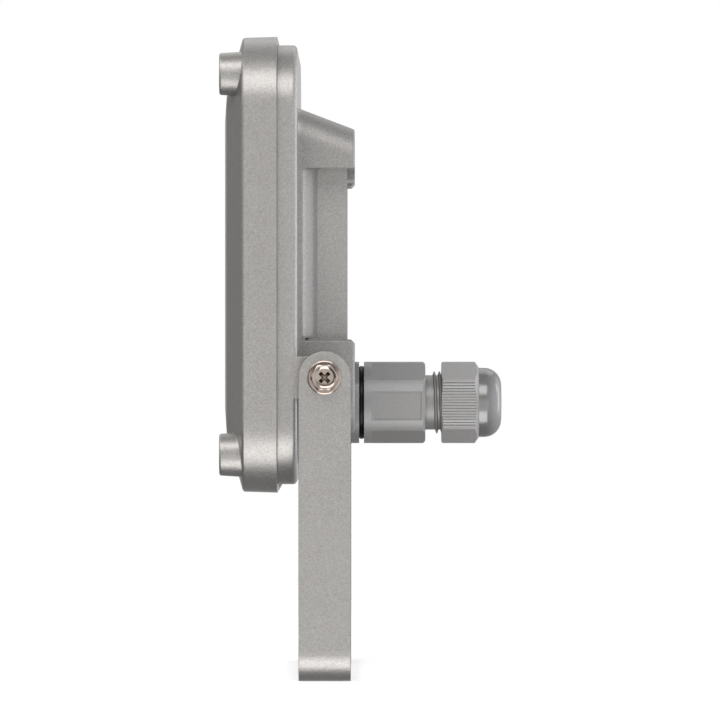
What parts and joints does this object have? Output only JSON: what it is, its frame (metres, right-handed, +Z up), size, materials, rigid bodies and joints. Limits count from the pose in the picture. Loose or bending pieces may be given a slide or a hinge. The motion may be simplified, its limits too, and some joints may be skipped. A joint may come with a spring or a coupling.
{
  "type": "led floodlight",
  "caption": "Rectangular floodlight head with a bevelled cast frame and rear fins, tilting on a U bracket, with a plug-in cable gland at the back.",
  "frame": {"origin": "centre of the bracket base's underside, on the middle fixing hole", "axes": "+Z up from the base to the head, +Y towards the back of the lamp and out along the cable gland, -Y is the way the light goes, +X across the lamp along the tilt axis"},
  "size_m": [0.17, 0.0804, 0.1812],
  "materials": {
    "bracket_paint": "steel with a fine metallic powder coat",
    "housing_paint": "die-cast aluminium with a fine metallic powder coat",
    "frame_paint": "die-cast aluminium with a fine metallic powder coat",
    "clear_glass": "clear toughened glass",
    "silicone": "soft translucent silicone",
    "reflector_metal": "hammered bright aluminium",
    "board_metal": "plain",
    "white_plastic": "matte white",
    "phosphor": "soft yellow silicone",
    "driver_plastic": "matte black",
    "gland_plastic": "satin grey polyamide",
    "black_rubber": "black rubber",
    "terminal_plastic": "white",
    "brass": "plain",
    "nickel_steel": "bright nickel plate",
    "zinc_steel": "zinc plate"
  },
  "bodies": {
    "bracket": {"bracket": "bracket_paint"},
    "head": {"housing": "housing_paint", "front_frame": "frame_paint", "front_glass": "clear_glass", "pivot_screw_right": "nickel_steel", "pivot_screw_left": "nickel_steel", "gland_base": "gland_plastic", "terminal_barrel": "gland_plastic", "glass_gasket": "silicone", "reflector": "reflector_metal", "led_carrier": "board_metal", "led_chip_frame": "white_plastic", "led_chip": "phosphor", "led_driver": "driver_plastic", "led_screw_1": "zinc_steel", "led_screw_2": "zinc_steel", "led_screw_3": "zinc_steel", "led_screw_4": "zinc_steel", "reflector_screw_1": "zinc_steel", "reflector_screw_2": "zinc_steel", "terminal_block": "terminal_plastic", "terminal_sleeve_1": "brass", "terminal_sleeve_2": "brass", "terminal_sleeve_3": "brass", "gland_seal_ring": "black_rubber", "pivot_washer_right": "nickel_steel", "pivot_washer_left": "nickel_steel", "frame_screw_1": "zinc_steel", "frame_screw_2": "zinc_steel", "frame_screw_3": "zinc_steel", "frame_screw_4": "zinc_steel"},
    "seal": {"cable_seal": "black_rubber"},
    "nut": {"sealing_nut": "gland_plastic"}
  },
  "joints": [
    {"name": "head_tilt", "type": "hinge", "parent": "bracket", "child": "head", "pos_m": [0, 0, 0.0851], "axis": [1, 0, 0], "range_deg": [-175, 12]},
    {"name": "seal_slide", "type": "slide", "parent": "head", "child": "seal", "axis": [0, 1, 0], "range_m": [-0.0016, 0.0046]},
    {"name": "nut_turn", "type": "hinge", "parent": "seal", "child": "nut", "pos_m": [0, 0.04, 0.0777], "axis": [0, 1, 0], "range_deg": [-360, 1080]}
  ],
  "couplings": [
    {"joint": "seal_slide", "follows": "nut_turn", "m_per_rad": 0.00023873}
  ]
}
